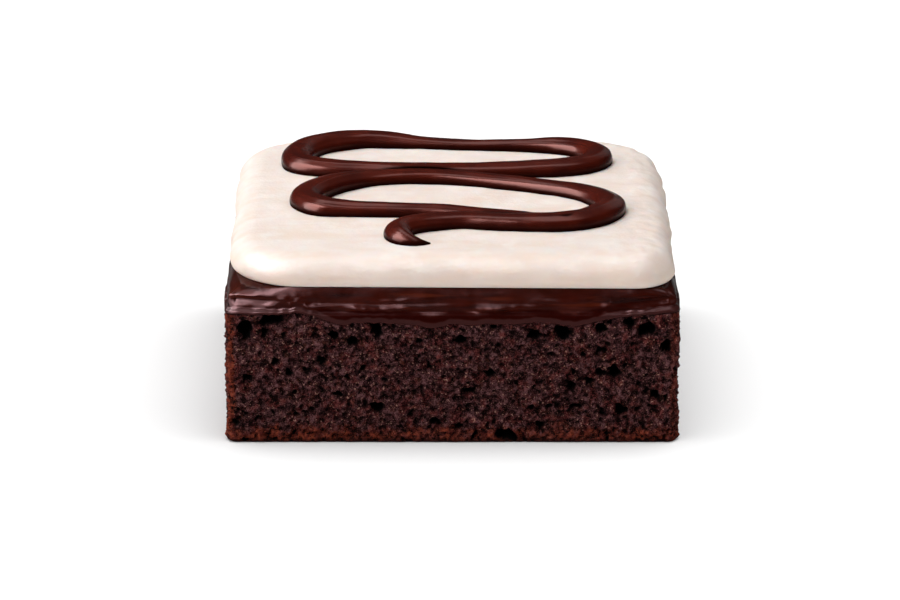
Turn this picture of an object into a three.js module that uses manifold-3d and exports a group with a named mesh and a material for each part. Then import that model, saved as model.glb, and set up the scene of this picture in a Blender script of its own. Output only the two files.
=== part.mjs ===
// A portion of chocolate mud cake cut as a near-square block: open chocolate crumb, a poured layer of
// chocolate icing, a thick spread of cream, and one line of chocolate piped on top in two long loops.
// Lengths are millimetres and +Z is up. The origin is the centre of the underside, and the cut face
// that is seen in front looks along -Y.
import * as THREE from "three";
import { mergeVertices } from "three/addons/utils/BufferGeometryUtils.js";
import Module from "manifold-3d";

const wasm = await Module();
wasm.setup();

// Driving dimensions
const CAKE_WIDTH = 60; // along X
const CAKE_DEPTH = 54; // along Y
const CRUMB_TOP = 17.5; // where crumb and icing meet inside the cake
const ICING_TOP = 21.5;
const LEAN_RIGHT = 1; // how much further in the right side stands at the back than in front
const LEAN_LEFT = 0.35;
const CREAM_TOP = 25.625;

// Crumb
const CRUMB_CORNER = 1.6; // corner radius seen from above
const CRUMB_INSET = 0.05; // the icing's lip stands this far proud of the crumb
const FOOT_ROUND = 0.25; // rounding of the bottom edge
const FOOT_PROFILE = [
  [1, 0],
  [0.3, 0.4],
  [0, 1],
]; // [inset, height] in shares of that rounding
const CRUMB_ROWS = 4;
const CRUMB_SWELL = 0.07; // how uneven the cut faces are

// The edge of the icing hangs low in the middle of each side and stands high at the corners.
const EDGE_LOW = 16.55;
const EDGE_HIGH = 18.15;
const EDGE_RISE_FROM = 0.45; // share of the half side where the edge starts to rise
const EDGE_RISE_TO = 0.7;
const EDGE_RIPPLE = 0.2;
const EDGE_BAND = 1.4; // how far in from the rim the meeting face is uneven

// Pores in the crumb
const PORE_SEED = 20;
const PORE_AREA = 36; // square millimetres of cut face for each large pore
const PORE_RADIUS = [0.5, 0.95];
const PORE_WIDENING = 0.5; // the widest pore is half again as wide
const PORE_HEIGHT = 0.8;
const PORE_DEPTH = 1.1;
const PORE_MARGIN = 1.3; // kept clear at the corners, the foot and the icing
const PORE_SPACING = 1.25; // least distance between two pores, in sums of their radii
const PORE_TRIES = 40;
const SMALL_PORES_BIAS = 2; // the higher, the more pores are near the least radius
// The largest pores of the cut face that is seen in front, as [x, height, half width, half height]
const FRONT_PORES = [
  [25.7, 15.7, 1.3, 0.9],
  [10.9, 14.9, 1, 0.8],
  [14.8, 15, 1, 0.8],
  [21.5, 9.9, 0.9, 0.9],
  [19.7, 15.9, 0.8, 0.8],
  [-15.7, 15, 0.8, 0.7],
  [-9.9, 5.1, 0.9, 0.7],
  [-13.2, 13.6, 0.9, 0.8],
  [1.3, 14.5, 0.8, 0.7],
  [4.8, 9.8, 0.9, 0.6],
  [16.3, 5.1, 0.9, 0.5],
  [22.2, 4.7, 0.9, 0.7],
  [-24.9, 15.4, 0.8, 0.6],
  [-21.6, 9.9, 0.6, 0.5],
];

// Cream: corner radii from the front right corner anticlockwise, as no two corners were spread alike
const CREAM_CORNERS = [5.2, 10, 9.5, 9];
const CREAM_FOOT_INSET = 0.9; // the cream's foot stands this far in from the cake's sides
const CREAM_SWELL = 0.13;
const ICING_SWELL = 0.07;
const CONTACT_SLOPE = 0.006; // the cream sits lower towards the right

// Piped line: its section is a dome about half as high as it is wide.
const LINE_RISE = 0.52; // height over width
const LINE_SECTION_POINTS = 10;
const LINE_STEP = 1.45; // between two sections along the line
const LINE_FOOT = 0.86; // width of the foot over the full width

// Points along the middle of the piped line, as [x, y, width of the line there]. The back loop is closed.
// The front line starts at its pulled-out tip, runs round a loop and ends inside its own first stretch.
const BACK_LOOP = [
  [-21.45, 14.4, 4],
  [-20.4, 17.5, 4.1],
  [-17.4, 20.4, 3.9],
  [-13.2, 22.3, 3.5],
  [-9, 22.3, 3.2],
  [-4, 21.4, 2.4],
  [3, 20.6, 2.25],
  [9.5, 20.4, 2.4],
  [14.8, 19.6, 3.1],
  [18.4, 17.7, 3.5],
  [20.2, 14.6, 3.6],
  [19, 11.8, 3.6],
  [15.5, 9.9, 3.5],
  [10, 9.1, 3.2],
  [4, 8.6, 3],
  [-4, 8.6, 3],
  [-12, 9.1, 3.2],
  [-18, 9.8, 3.7],
  [-20.8, 11.3, 4],
];
const FRONT_LINE = [
  [-2.8, -20.4, 0.3],
  [-4.2, -20.6, 1.1],
  [-5.5, -20.3, 2.1],
  [-6.6, -19.3, 3],
  [-7.3, -17.4, 3.4],
  [-6.4, -15.5, 3.4],
  [-3.6, -13.7, 3.3],
  [0.7, -12.7, 3.2],
  [5, -13.1, 3.3],
  [9.5, -13.6, 3.6],
  [13.8, -13.6, 3.8],
  [17.6, -12.4, 3.9],
  [20.4, -9.6, 3.9],
  [21.4, -6.6, 3.7],
  [20, -3.4, 3.5],
  [17, -0.5, 3.1],
  [12.8, 1.6, 2.8],
  [6.2, 4, 2.7],
  [-0.5, 5.8, 2.75],
  [-5, 6.2, 2.8],
  [-10, 5.6, 3],
  [-13.7, 4.2, 3.5],
  [-17, 1.7, 3.9],
  [-19.3, -1.5, 3.9],
  [-19.9, -3.9, 3.8],
  [-17.8, -7, 3.7],
  [-14.5, -7.8, 3.1],
  [-9, -8.1, 2.7],
  [-1.3, -8.7, 2.6],
  [4, -10.3, 2.6],
  [10, -12.4, 2.8],
  [15, -13.4, 2],
];

// Gentle waves round the cake, as [waves in a turn, phase, strength, phase added from bottom to top]
const EDGE_WAVES = [
  [9, 0.6, 1, 0],
  [17, 2.1, 0.7, 0],
  [31, 0, 0.5, 0],
];
const CRUMB_WAVES = [
  [7, 0, 1, 7.6],
  [23, 0, 1, -10.4],
];
const ICING_WAVES = [
  [13, 0, 1, 8],
  [29, 0, 1, -5],
];
const CREAM_WAVES = [
  [5, 0, 1, 3],
  [12, -2, 0.8, 0],
  [27, 0, 0.6, 6],
];

// The icing's side swells into a lip over the crumb, then leans in under the cream. Each row is
// [outset, share of the way up from the wavy edge to the top].
const ICING_PROFILE = [
  [0.02, 0.05],
  [0.08, 0.15],
  [0.05, 0.28],
  [-0.12, 0.42],
  [-0.22, 0.6],
  [-0.4, 0.78],
  [-0.6, 0.92],
  [-0.9, 1],
];

// The cream's side bulges just above its foot and rounds over to a level top: [outset, height share].
const CREAM_PROFILE = [
  [0.4, 0.09],
  [0.62, 0.26],
  [0.5, 0.46],
  [0.12, 0.65],
  [-0.55, 0.82],
  [-1.5, 0.94],
  [-2.7, 1],
];

// Points round each outline, the same for every ring so that rings join one to one
const STRAIGHT_POINTS = { x: 21, y: 19 };
const CORNER_POINTS = 6;

// Colour and roughness of each layer
const SPONGE_LOOK = { color: 0x3a1f1b, roughness: 0.9 };
const ICING_LOOK = { color: 0x37150f, roughness: 0.25 };
const CREAM_LOOK = { color: 0xf3e4d8, roughness: 0.55 };
const LINE_LOOK = { color: 0x3d140f, roughness: 0.25 };

const MERGE_TOLERANCE = 1e-5; // vertices closer than this are one
const QUARTER_TURN = Math.PI / 2;
const UP = new THREE.Vector3(0, 0, 1);

// Returns a random number maker between 0 and 1 that gives the same row of numbers each time.
function seededRandom(seed) {
  let state = seed;
  return () => {
    state = (state + 0x6d2b79f5) | 0;
    let mixed = Math.imul(state ^ (state >>> 15), 1 | state);
    mixed = (mixed + Math.imul(mixed ^ (mixed >>> 7), 61 | mixed)) ^ mixed;
    return ((mixed ^ (mixed >>> 14)) >>> 0) / 2 ** 32;
  };
}

// A rounded rectangle seen from above, anticlockwise from the front side's left end, with a radius for each
// corner from the front right one on. Each point has its place, its outward normal and its angle round the
// cake, which the gentle waves below are made from.
function roundedOutline(width, depth, radii) {
  const signs = [
    [1, -1],
    [1, 1],
    [-1, 1],
    [-1, -1],
  ];
  const centres = signs.map(([signX, signY], corner) => [
    signX * (width / 2 - radii[corner]),
    signY * (depth / 2 - radii[corner]),
  ]);
  const points = [];
  centres.forEach(([x, y], corner) => {
    const previous = (corner + 3) % 4;
    const facing = (corner - 1) * QUARTER_TURN;
    const normal = [Math.cos(facing), Math.sin(facing)];
    const [lastX, lastY] = centres[previous];
    const count = corner % 2 ? STRAIGHT_POINTS.y : STRAIGHT_POINTS.x;
    const start = [lastX + normal[0] * radii[previous], lastY + normal[1] * radii[previous]];
    const end = [x + normal[0] * radii[corner], y + normal[1] * radii[corner]];
    for (let i = 0; i < count; i++) {
      const share = i / count;
      points.push({
        x: THREE.MathUtils.lerp(start[0], end[0], share),
        y: THREE.MathUtils.lerp(start[1], end[1], share),
        normal,
      });
    }
    for (let i = 0; i < CORNER_POINTS; i++) {
      const angle = facing + (i / CORNER_POINTS) * QUARTER_TURN;
      const turned = [Math.cos(angle), Math.sin(angle)];
      points.push({ x: x + turned[0] * radii[corner], y: y + turned[1] * radii[corner], normal: turned });
    }
  });
  return points.map((point) => ({ ...point, round: Math.atan2(point.y, point.x) }));
}

// Moves each point of an outline out along its normal and gives it a height.
function ringAt(outline, outset, height) {
  const valueOf = (rule, point) => (typeof rule === "function" ? rule(point) : rule);
  return outline.map((point) => {
    const out = valueOf(outset, point);
    return new THREE.Vector3(
      point.x + point.normal[0] * out,
      point.y + point.normal[1] * out,
      valueOf(height, point),
    );
  });
}

// A closed body through rings of equal count, from the bottom up, with a fan at each end. Each four-sided
// face is split along its shorter diagonal, so that two bodies that share a face are split alike.
function bodyThroughRings(rings) {
  const count = rings[0].length;
  const corners = rings.flat();
  const triangles = [];
  for (let r = 0; r + 1 < rings.length; r++) {
    for (let i = 0; i < count; i++) {
      const next = (i + 1) % count;
      const [a, b, c, d] = [r * count + i, r * count + next, (r + 1) * count + next, (r + 1) * count + i];
      const alongAC = corners[a].distanceTo(corners[c]);
      const alongBD = corners[b].distanceTo(corners[d]);
      triangles.push(...(alongAC < alongBD ? [a, b, c, a, c, d] : [a, b, d, b, c, d]));
    }
  }
  const lastRing = (rings.length - 1) * count;
  const meanHeight = (ring) => ring.reduce((sum, corner) => sum + corner.z, 0) / count;
  const bottom = corners.push(new THREE.Vector3(0, 0, meanHeight(rings[0]))) - 1;
  const top = corners.push(new THREE.Vector3(0, 0, meanHeight(rings.at(-1)))) - 1;
  for (let i = 0; i < count; i++) {
    const next = (i + 1) % count;
    triangles.push(bottom, next, i, top, lastRing + i, lastRing + next);
  }
  return new THREE.BufferGeometry().setFromPoints(corners).setIndex(triangles);
}

function toSolid(geometry) {
  const bare = geometry.clone();
  bare.deleteAttribute("normal");
  bare.deleteAttribute("uv");
  const merged = mergeVertices(bare, MERGE_TOLERANCE);
  return new wasm.Manifold(
    new wasm.Mesh({
      numProp: 3,
      vertProperties: merged.attributes.position.array,
      triVerts: new Uint32Array(merged.index.array),
    }),
  );
}

function toGeometry(solid) {
  const mesh = solid.getMesh();
  return new THREE.BufferGeometry()
    .setAttribute("position", new THREE.BufferAttribute(mesh.vertProperties, 3))
    .setIndex(new THREE.BufferAttribute(mesh.triVerts, 1));
}

function wavesAt(waves, { round }, share = 0) {
  let sum = 0;
  for (const [count, phase, strength, added] of waves) {
    sum += strength * Math.sin(count * round + phase + added * share);
  }
  return sum;
}

// Height of the icing's lower edge: low along the middle of a side, high at its ends, with small ripples.
function edgeHeight(point) {
  const along = Math.min(Math.abs(point.x) / (CAKE_WIDTH / 2), Math.abs(point.y) / (CAKE_DEPTH / 2));
  const rise = THREE.MathUtils.smoothstep(along, EDGE_RISE_FROM, EDGE_RISE_TO);
  return THREE.MathUtils.lerp(EDGE_LOW, EDGE_HIGH, rise) + EDGE_RIPPLE * wavesAt(EDGE_WAVES, point);
}

// Height at which the cream's foot rests on the icing.
function contactHeight({ x }) {
  return ICING_TOP - CONTACT_SLOPE * x;
}

// The cake was cut a little narrower at the back, which draws each x in towards the middle there.
function narrowX(x, y) {
  const towardsSide = x / (CAKE_WIDTH / 2);
  const towardsBack = y / CAKE_DEPTH + 0.5;
  const lean = towardsSide > 0 ? LEAN_RIGHT : LEAN_LEFT;
  return x - lean * towardsSide * towardsBack;
}

function narrowed(outline) {
  return outline.map((point) => ({ ...point, x: narrowX(point.x, point.y) }));
}

const crumbOutline = narrowed(roundedOutline(CAKE_WIDTH, CAKE_DEPTH, Array(4).fill(CRUMB_CORNER)));
const creamOutline = narrowed(
  roundedOutline(CAKE_WIDTH - 2 * CREAM_FOOT_INSET, CAKE_DEPTH - 2 * CREAM_FOOT_INSET, CREAM_CORNERS),
);

// The uneven band where crumb and icing meet, which both bodies use as it is.
const meetingRim = ringAt(crumbOutline, -CRUMB_INSET, edgeHeight);
const meetingInner = ringAt(crumbOutline, -EDGE_BAND, CRUMB_TOP);

// The line round the cream's foot, which the icing and the cream share in the same way.
const creamFoot = ringAt(creamOutline, 0, contactHeight);

// The listed pores of the front face. Seen from outside, its length runs against X.
function frontPores() {
  return FRONT_PORES.map(([x, height, halfWidth, halfHeight]) => {
    const radius = halfHeight / PORE_HEIGHT;
    return { side: 0, reach: CAKE_DEPTH / 2, along: -x, height, radius, wide: halfWidth / radius, tilt: 0 };
  });
}

// Places of the largest pores: a draw for each cut face, kept apart from each other. Side 0 is the front.
function placePores() {
  const random = seededRandom(PORE_SEED);
  const pores = [];
  for (let side = 0; side < 4; side++) {
    const [length, reach] = side % 2 ? [CAKE_DEPTH, CAKE_WIDTH / 2] : [CAKE_WIDTH, CAKE_DEPTH / 2];
    const placed = side === 0 ? frontPores() : [];
    const wanted = Math.round((length * CRUMB_TOP) / PORE_AREA);
    for (let tries = 0; placed.length < wanted && tries < wanted * PORE_TRIES; tries++) {
      const radius = THREE.MathUtils.lerp(...PORE_RADIUS, random() ** SMALL_PORES_BIAS);
      const along = (random() - 0.5) * (length - 2 * (PORE_MARGIN + radius));
      const height = PORE_MARGIN + radius + random() * (CRUMB_TOP - 2 * PORE_MARGIN - 2 * radius);
      const wide = 1 + PORE_WIDENING * random();
      const pore = { side, reach, along, height, radius, wide, tilt: random() * Math.PI };
      const isClear = placed.every(
        (other) =>
          Math.hypot(other.along - along, other.height - height) > PORE_SPACING * (other.radius + radius),
      );
      if (isClear) placed.push(pore);
    }
    pores.push(...placed);
  }
  return pores;
}

// A pore is an uneven hollow, wider than it is high, half sunk in its cut face.
function poreSolid({ side, reach, along, height, radius, wide, tilt }) {
  const turn = (side - 2) * QUARTER_TURN;
  const place = new THREE.Vector3(along, reach - CRUMB_INSET, height).applyAxisAngle(UP, turn);
  const hollow = new THREE.IcosahedronGeometry(radius, 0);
  hollow.rotateY(tilt);
  hollow.scale(wide, PORE_DEPTH, PORE_HEIGHT);
  hollow.rotateZ(turn);
  hollow.translate(narrowX(place.x, place.y), place.y, place.z);
  return toSolid(hollow);
}

function makeCrumb() {
  const foot = FOOT_PROFILE.map(([inset, height]) =>
    ringAt(crumbOutline, -CRUMB_INSET - FOOT_ROUND * inset, FOOT_ROUND * height),
  );
  const rows = [];
  for (let row = 1; row < CRUMB_ROWS; row++) {
    const share = row / CRUMB_ROWS;
    rows.push(
      ringAt(
        crumbOutline,
        (point) => CRUMB_SWELL * wavesAt(CRUMB_WAVES, point, share) - CRUMB_INSET,
        (point) => THREE.MathUtils.lerp(FOOT_ROUND, edgeHeight(point), share),
      ),
    );
  }
  const block = bodyThroughRings([...foot, ...rows, meetingRim, meetingInner]);
  const pores = wasm.Manifold.union(placePores().map(poreSolid));
  return toGeometry(toSolid(block).subtract(pores));
}

function makeIcing() {
  const rings = ICING_PROFILE.map(([outset, share]) =>
    ringAt(
      crumbOutline,
      (point) => outset + ICING_SWELL * Math.sin(Math.PI * share) * wavesAt(ICING_WAVES, point, share),
      (point) => THREE.MathUtils.lerp(edgeHeight(point), contactHeight(point), share),
    ),
  );
  return bodyThroughRings([meetingInner, meetingRim, ...rings, creamFoot]);
}

function makeCream() {
  const rings = CREAM_PROFILE.map(([outset, share]) =>
    ringAt(
      creamOutline,
      (point) => outset + CREAM_SWELL * Math.sin(Math.PI * share) * wavesAt(CREAM_WAVES, point, share),
      (point) => THREE.MathUtils.lerp(contactHeight(point), CREAM_TOP, share),
    ),
  );
  return bodyThroughRings([creamFoot, ...rings]);
}

// The line's section as [across, up] shares of its width: a flat foot under a dome that swells past it.
function lineSection() {
  const section = [];
  for (let i = 0; i < LINE_SECTION_POINTS; i++) {
    const angle = (i / (LINE_SECTION_POINTS - 1)) * Math.PI;
    const up = Math.sin(angle) * LINE_RISE;
    const across = (Math.cos(angle) * (i % (LINE_SECTION_POINTS - 1) ? 1 : LINE_FOOT)) / 2;
    section.push([across, up]);
  }
  return section;
}

// Sweeps the line's section along points [x, y, width]. A closed line joins its own start, and an open
// one is shut at both ends.
function pipe(points, closed) {
  const curve = new THREE.CatmullRomCurve3(
    points.map((point) => new THREE.Vector3(...point)),
    closed,
    "centripetal",
  );
  const steps = Math.round(curve.getLength() / LINE_STEP);
  const stations = closed ? steps : steps + 1;
  const section = lineSection();
  const corners = [];
  for (let i = 0; i < stations; i++) {
    const place = curve.getPointAt(i / steps);
    const tangent = curve.getTangentAt(i / steps);
    const across = new THREE.Vector2(tangent.y, -tangent.x).normalize();
    const width = place.z;
    for (const [side, up] of section) {
      corners.push(
        new THREE.Vector3(
          place.x + across.x * side * width,
          place.y + across.y * side * width,
          CREAM_TOP + up * width,
        ),
      );
    }
  }
  const size = section.length;
  const triangles = [];
  for (let i = 0; i < steps; i++) {
    const here = i * size;
    const there = ((i + 1) % stations) * size;
    for (let k = 0; k < size; k++) {
      const next = (k + 1) % size;
      triangles.push(here + k, there + next, here + next, here + k, there + k, there + next);
    }
  }
  if (!closed) {
    const last = (stations - 1) * size;
    for (let k = 1; k + 1 < size; k++) {
      triangles.push(0, k, k + 1, last, last + k + 1, last + k);
    }
  }
  return toSolid(new THREE.BufferGeometry().setFromPoints(corners).setIndex(triangles));
}

function makePipedLine() {
  return toGeometry(pipe(BACK_LOOP, true).add(pipe(FRONT_LINE, false)));
}

function part(name, geometry, look) {
  geometry.computeVertexNormals();
  const mesh = new THREE.Mesh(geometry, new THREE.MeshStandardMaterial({ ...look, metalness: 0 }));
  mesh.name = name;
  return mesh;
}

const cake = new THREE.Group();
cake.add(
  part("chocolate_sponge", makeCrumb(), SPONGE_LOOK),
  part("chocolate_icing", makeIcing(), ICING_LOOK),
  part("cream_layer", makeCream(), CREAM_LOOK),
  part("piped_line", makePipedLine(), LINE_LOOK),
);

export default cake;
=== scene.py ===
"""The looks of a portion of chocolate mud cake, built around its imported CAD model.

Each layer is a finer version of the solid that it stands for: crumb dug out by thousands of pores,
poured icing with a lip and spreading marks, thick cream smoothed with a knife, and a line of piped
chocolate fused into one bead. Shapes are worked out in millimetres, with +Z up and the seen cut face
towards -Y, and turned into metres when a mesh is made.
"""
import math

import bpy
import numpy as np
from mathutils import Euler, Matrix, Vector, noise


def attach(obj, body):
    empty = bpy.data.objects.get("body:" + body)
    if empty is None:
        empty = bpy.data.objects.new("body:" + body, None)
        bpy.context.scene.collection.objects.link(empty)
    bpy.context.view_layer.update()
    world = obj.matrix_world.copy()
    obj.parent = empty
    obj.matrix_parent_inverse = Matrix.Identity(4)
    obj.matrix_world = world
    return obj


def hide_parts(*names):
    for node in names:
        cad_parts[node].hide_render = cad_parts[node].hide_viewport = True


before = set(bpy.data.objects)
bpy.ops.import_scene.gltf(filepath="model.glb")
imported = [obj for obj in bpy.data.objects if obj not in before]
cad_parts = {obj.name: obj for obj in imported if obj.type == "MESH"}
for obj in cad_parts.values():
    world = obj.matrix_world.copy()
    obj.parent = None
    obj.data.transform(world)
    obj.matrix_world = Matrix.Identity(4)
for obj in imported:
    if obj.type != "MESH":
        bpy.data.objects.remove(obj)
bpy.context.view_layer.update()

MM = 0.001
QUARTER_TURN = math.pi / 2
BODY = "root"

# Driving dimensions, as in the CAD model
CAKE_WIDTH = 60.0
CAKE_DEPTH = 54.0
CRUMB_TOP = 17.5
ICING_TOP = 21.5
CREAM_TOP = 25.625
LEAN_RIGHT = 1.0
LEAN_LEFT = 0.35

# Fineness of the meshes
CRUMB_SPACING = 0.208
ICING_SPACING = 0.27
ICING_ROWS = 60
CREAM_SPACING = 0.36
CREAM_ROWS = 46
CREAM_TOP_RINGS = 64
CREAM_SMOOTHING = 14
LINE_STEP = 0.3
LINE_SECTION_POINTS = 28
LINE_VOXEL = 0.17
LINE_SMOOTHING = 4
CURVE_SAMPLES = 24
CORNER_STEPS = 6  # at least, round each corner of an outline

# Gentle waves round the cake, as (waves in a turn, phase, strength, phase added from bottom to top)
EDGE_WAVES = ((9, 0.6, 1, 0), (17, 2.1, 0.7, 0), (31, 0, 0.5, 0))
CRUMB_WAVES = ((7, 0, 1, 7.6), (23, 0, 1, -10.4))
ICING_WAVES = ((13, 0, 1, 8), (29, 0, 1, -5))
CREAM_WAVES = ((5, 0, 1, 3), (12, -2, 0.8, 0), (27, 0, 0.6, 6))

# Crumb block, as in the CAD model
CRUMB_CORNER = 1.6
CRUMB_INSET = 0.05
CRUMB_SWELL = 0.07
FOOT_ROUND = 0.25

# The icing's lower edge, as in the CAD model but for its right half, which rises a little later and less
EDGE_LOW = 16.55
EDGE_HIGH = 18.15
EDGE_RISE = (0.45, 0.7)
EDGE_RIGHT_LATER = 0.07
EDGE_RIGHT_LOWER = 0.2
EDGE_RIPPLE = 0.2
EDGE_BAND = 1.4  # the edge's underside reaches this far in

# Pores of the crumb
PORE_SEED = 7
PORE_KINDS = (
    # (radius from, radius to, pores for each square millimetre, depth over radius, clear of other pores)
    (0.4, 0.75, 0.045, 1.7, True),
    (0.2, 0.42, 0.26, 1.5, False),
    (0.11, 0.22, 1.8, 1.4, False),
)
SMALL_PORES_BIAS = 1.6  # the higher, the more pores are near the least radius
PORE_WIDTHS = (0.9, 1.5)  # over the radius
PORE_HEIGHT = 0.85  # over the radius
PORE_TILT = 0.5
PORE_SPACING = 1.4  # least distance between two large pores, in sums of their radii
# The largest holes in the face that is seen, as (x, height, half width, half height)
FRONT_HOLES = (
    (-23.8, 17.3, 1.6, 0.8), (-27.4, 16.0, 1.1, 1.1), (25.7, 15.9, 1.3, 0.9), (7.2, 1.0, 1.6, 0.7),
    (10.9, 15.1, 1.0, 0.8), (14.8, 15.2, 1.0, 0.8), (21.5, 9.9, 0.9, 0.9), (-10.1, 15.9, 0.9, 0.9),
    (28.3, 13.5, 0.9, 1.0), (19.7, 16.1, 0.8, 0.8), (-15.7, 15.1, 0.8, 0.7), (-9.9, 5.1, 0.9, 0.7),
    (-13.2, 14.2, 0.9, 0.8), (1.3, 14.5, 0.8, 0.7), (4.8, 9.8, 0.9, 0.6), (16.3, 5.1, 0.9, 0.5),
    (22.2, 4.7, 0.9, 0.7), (18.0, 8.7, 0.8, 0.5), (-24.9, 15.4, 0.7, 0.5), (-21.6, 9.9, 0.6, 0.5),
    (-23.6, 11.4, 0.5, 0.5),
)
HOLE_DEPTH = 2.2  # over the half height
HOLE_TILT = 0.2
HOLE_RIM = 1.15  # a hole's rim lies where this share of its size squared is reached
DEEPEST = (1.7, 0.8)  # on the sides and at the corners

# Layers of noise, each as (strength, size, seed), for the icing's edge, the pores and the crumb's relief
EDGE_RAGGED = ((0.22, 0.9, 11),)
PORE_BEND_ALONG = ((0.4, 1.1, 1), (0.35, 0.5, 2))
PORE_BEND_UP = ((0.4, 1.1, 3), (0.35, 0.5, 4))
GRAIN_BENDS = ((0.35, 1.3, 12), (0.35, 1.3, 13), (0.35, 1.3, 14))
BENT_GRAINS = ((0.5, 0.74, 5),)
FINE_GRAINS = ((0.5, 0.42, 7),)
GAP_STRENGTH = 0.3
WINDING_GAPS = ((2.0, 0.8, 6),)
CRUMB_RELIEF = 0.5
RELIEF_CLEAR = 0.6  # the relief fades out over this height at the foot

# Baked crust, and painted rim light that makes the upright edges stronger on the left: their strength and
# reach along the upright edges and along the foot, with ragged limits
CRUST_RAGGED = ((0.5, 1.6, 8), (0.35, 0.5, 9))
EDGE_CRUST_AND_RIM_LIGHT = (0.85, 0.45)  # on the left and on the right
EDGE_CRUST_AND_RIM_LIGHT_REACH = (0.8, 1.6)
EDGE_CRUST_AND_RIM_LIGHT_RAGGED = 0.6
FOOT_CRUST = 0.78
FOOT_CRUST_UNEVEN = (0.78, 1.1)
FOOT_CRUST_PATCHES = ((1.0, 3.2, 15),)
FOOT_CRUST_REACH = (0.9, 3.4)
FOOT_CRUST_RAGGED = 2.2

# Cream and icing, as in the CAD model
CREAM_CORNERS = (5.2, 10.0, 9.5, 9.0)
CREAM_FOOT_INSET = 0.9
CREAM_SWELL = 0.13
CONTACT_SLOPE = 0.006
ICING_SWELL = 0.035  # half of that in the CAD model

# Icing: outset of its side at each share of the way up. The lip ends at LIP_SHARE of this profile.
ICING_PROFILE = (
    (0.0, -0.06), (0.03, 0.1), (0.08, 0.2), (0.16, 0.26),
    (0.26, 0.25), (0.31, 0.13), (0.35, -0.06), (0.38, -0.18),
    (0.42, -0.19), (0.46, -0.13), (0.5, -0.1), (0.55, -0.13),
    (0.61, -0.24), (0.68, -0.33), (0.76, -0.42), (0.85, -0.57),
    (0.93, -0.73), (1.0, -0.95),
)
LIP_SHARE = 0.34
LIP_TOP = 18.2
LIP_LEAST = 0.55
# The lip loses this share of its outset at the cake's corners, over this distance from them.
LIP_THINNING = 0.6
LIP_THINNING_REACH = (1.0, 6.0)
# The side leans in to the cream's foot above this share of the way up, and sags where it leans far.
SHOULDER_FROM = 0.72
SHOULDER_SAG = 0.5
SAG_FULL_AT = 2.0
SAG_RISE = (0.6, 0.8)
# The icing thins out towards the cake's corners, most on the front and most of all near its top.
CORNER_RECESS = 1.6
CORNER_REACH = (0.5, 10.5)
CORNER_REACH_LESS = 5.0
RECESS_AWAY_FROM_FRONT = 0.25
# Spreading marks run along each side, as (how far drawn out, layer of noise).
SPREADING_MARKS = ((0.05, (0.06, 0.9, 21)), (0.08, (0.016, 0.36, 22)))
# Crinkles lie a little way from each corner, and weaker ones at the corners on the right.
CRINKLES = ((1.0, 1.7, 23), (0.5, 0.8, 24))
CRINKLE_RELIEF = 0.22
CRINKLE_REACH = ((7.0, 9.5), (10.5, 13.0))
CORNER_CRINKLES = 0.35
CORNER_CRINKLE_REACH = (3.0, 6.0)
# Folds run slantwise at the ends of a side, fully on the left.
FOLD_SLOPE = 0.42
FOLD_LENGTH = 4.2
FOLD_THICKNESS = 1.1
FOLDS = ((0.19, 1.0, 25),)
FOLD_REACH = (6.0, 11.0)
FOLD_ON_RIGHT = 0.5
# Rolls pushed up by the knife on the front, as (x from, x of the top, x to, height, half height, outset)
FRONT_ROLLS = (
    (-14.8, -12.0, 1.5, 18.8, 0.42, 0.38),
    (-21.0, -17.8, -13.5, 18.9, 0.4, 0.22),
    (2.4, 4.8, 13.5, 18.75, 0.4, 0.36),
    (-16.0, -8.0, 2.5, 19.9, 0.28, 0.13),
    (-4.0, 3.0, 10.0, 20.5, 0.26, 0.1),
    (9.0, 13.5, 21.0, 19.8, 0.3, 0.15),
    (20.6, 24.8, 27.4, 18.8, 0.38, 0.3),
)
ROLL_SAG = 0.12
ROLL_SAG_WAVE = 0.5
ROLL_UNEVEN = ((0.5, 1.1, 26),)
ROLL_DRAWN_UP = 0.3
FACES_FRONT = -0.99
# Tones of the icing, a painted reflection on the lip's face and painted shade in the groove over it and
# under the cream: heights over its edge, depths under the cream and places along X where they change
LIP_REFLECTION_END = (0.75, 1.0)
GROOVE_SHADE_END = (1.6, 2.1)
GROOVE_SHADE_FROM_LEFT = (-21.0, -15.0)
GROOVE_SHADE_WEAK_ON_RIGHT = (18.0, 24.0)
UNDER_CREAM_SHADE = (0.55, 0.1)
UNDER_CREAM_SHADE_FROM_LEFT = (-27.5, -24.5)

# Cream: outset of its side at each share of its height
CREAM_PROFILE = (
    (0.0, 0.0), (0.09, 0.42), (0.26, 0.64), (0.46, 0.5),
    (0.65, 0.1), (0.82, -0.58), (0.94, -1.5), (1.0, -2.7),
)
CREAM_LUMPS = ((0.14, 7.0, 31), (0.05, 2.4, 32))
CREAM_ROUGH_LUMPS = ((0.2, 1.9, 33), (0.1, 1.1, 35))
CREAM_ROUGH_X = (18.0, 28.0)  # the cream is rougher on the right
CREAM_STROKES = ((0.035, 1.5, 34),)
CREAM_DRAWN_OUT = (0.16, 1.0, 1.0)

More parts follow.
